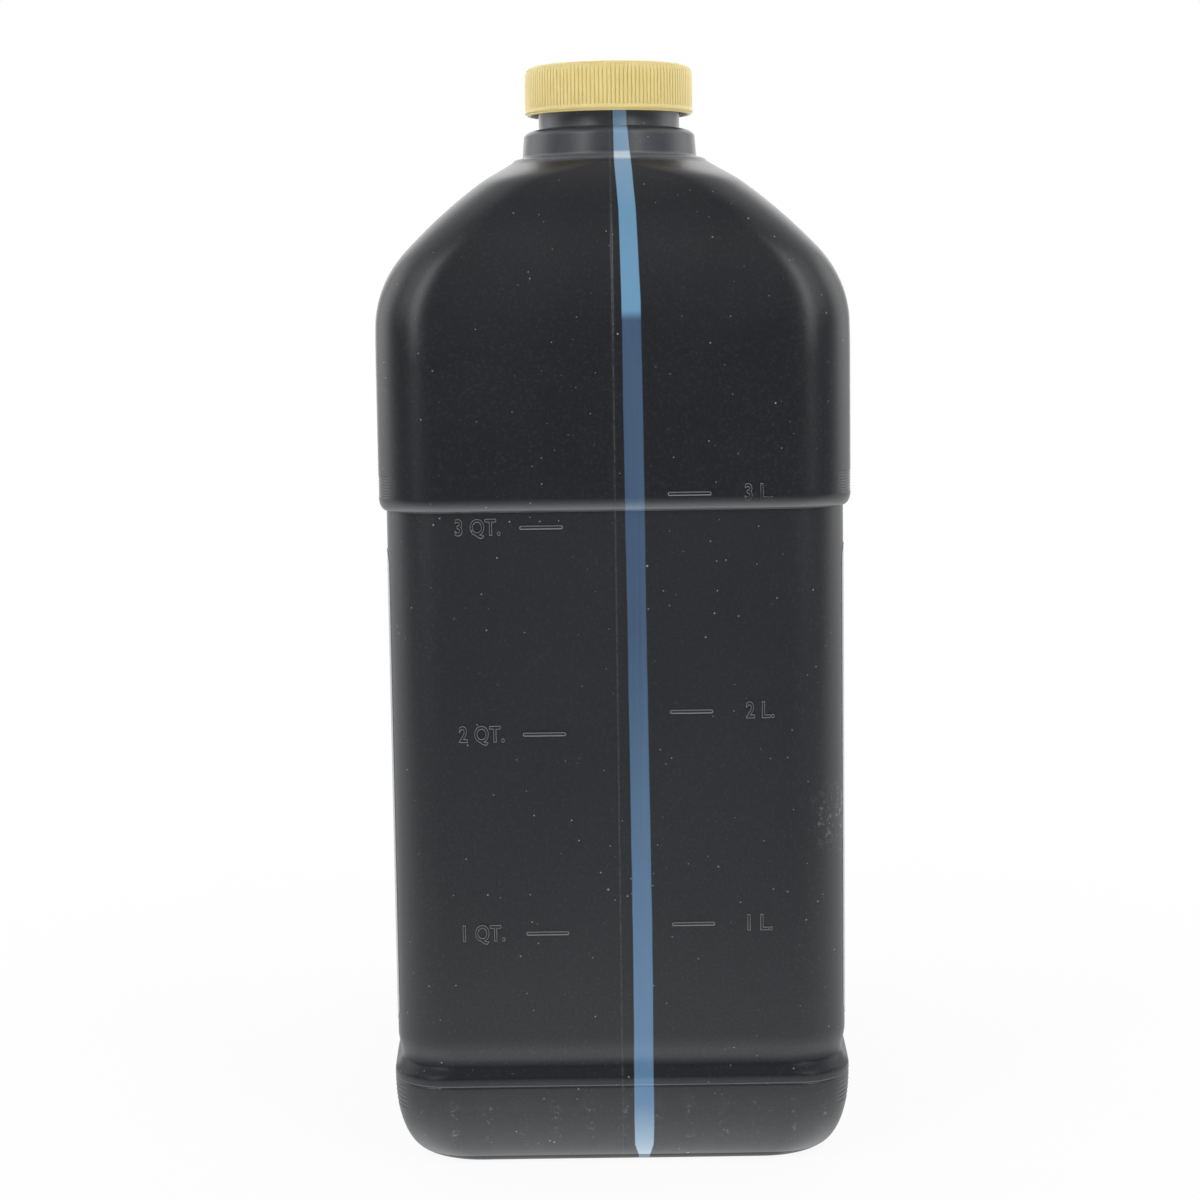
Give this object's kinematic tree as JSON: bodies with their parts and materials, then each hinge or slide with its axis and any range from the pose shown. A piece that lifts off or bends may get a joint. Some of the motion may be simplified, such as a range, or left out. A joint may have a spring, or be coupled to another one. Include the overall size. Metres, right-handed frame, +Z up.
{
  "type": "motor oil bottle",
  "caption": "Blown plastic jug for motor oil with an integral handle, a view stripe with level marks and a ribbed screw cap.",
  "frame": {"origin": "on the surface the bottle stands on, under the middle of its bounding box", "axes": "+Z up, -Y out of the narrow front face with the view stripe, +X to the right of that face"},
  "size_m": [0.114, 0.1913, 0.2616],
  "materials": {
    "blown_hdpe": "satin",
    "cap_plastic": "satin",
    "liner_foam": "matte",
    "label_film": "gloss",
    "motor_oil": "gloss"
  },
  "bodies": {
    "bottle": {"bottle": "blown_hdpe", "left_label": "label_film", "right_label": "label_film", "oil": "motor_oil"},
    "liner": {"cap_liner": "liner_foam"},
    "cap": {"cap": "cap_plastic"}
  },
  "joints": [
    {"name": "cap_lift", "type": "slide", "parent": "bottle", "child": "liner", "axis": [0, 0, 1], "range_m": [0, 0.0127]},
    {"name": "cap_turn", "type": "hinge", "parent": "liner", "child": "cap", "pos_m": [0, -0.0515, 0.2592], "axis": [0, 0, 1], "range_deg": [0, 1080]}
  ],
  "couplings": [
    {"joint": "cap_lift", "follows": "cap_turn", "m_per_rad": 0.0006737}
  ]
}
